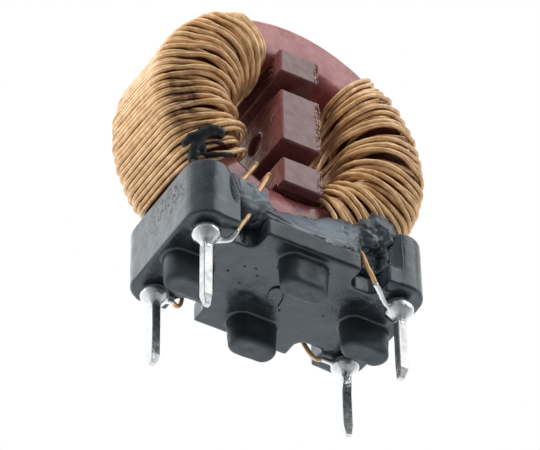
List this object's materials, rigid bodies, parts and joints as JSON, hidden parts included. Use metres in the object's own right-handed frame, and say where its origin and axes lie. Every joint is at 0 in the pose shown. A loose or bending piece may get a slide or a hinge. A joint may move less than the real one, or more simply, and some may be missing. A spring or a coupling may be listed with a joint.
{
  "type": "toroidal inductor",
  "caption": "Upright toroidal common-mode choke: a red coated ring core with two copper windings and a centre divider, potted in a black header with square board pins.",
  "frame": {"origin": "centre of the four-pin grid, on the plane of the stand-off feet that meets the circuit board", "axes": "+Z away from the board, X along the long pin spacing, Y along the axis of the ring"},
  "size_m": [0.0215, 0.0103, 0.0296],
  "materials": {
    "black_plastic": "satin moulded plastic",
    "tin": "bright tin plate and solder",
    "red_coating": "semi-gloss powder coating",
    "maroon_plastic": "satin moulded plastic",
    "copper_wire": "enamelled copper wire",
    "resin": "glossy hardened resin"
  },
  "bodies": {
    "root": {"header_base": "black_plastic", "pin_front_left": "tin", "pin_front_right": "tin", "pin_back_left": "tin", "pin_back_right": "tin", "solder_front_left": "tin", "solder_front_right": "tin", "solder_back_left": "tin", "solder_back_right": "tin", "coated_core": "red_coating", "core_divider": "maroon_plastic", "winding_left": "copper_wire", "winding_right": "copper_wire", "potting_resin": "resin", "resin_drop": "resin"}
  },
  "joints": []
}
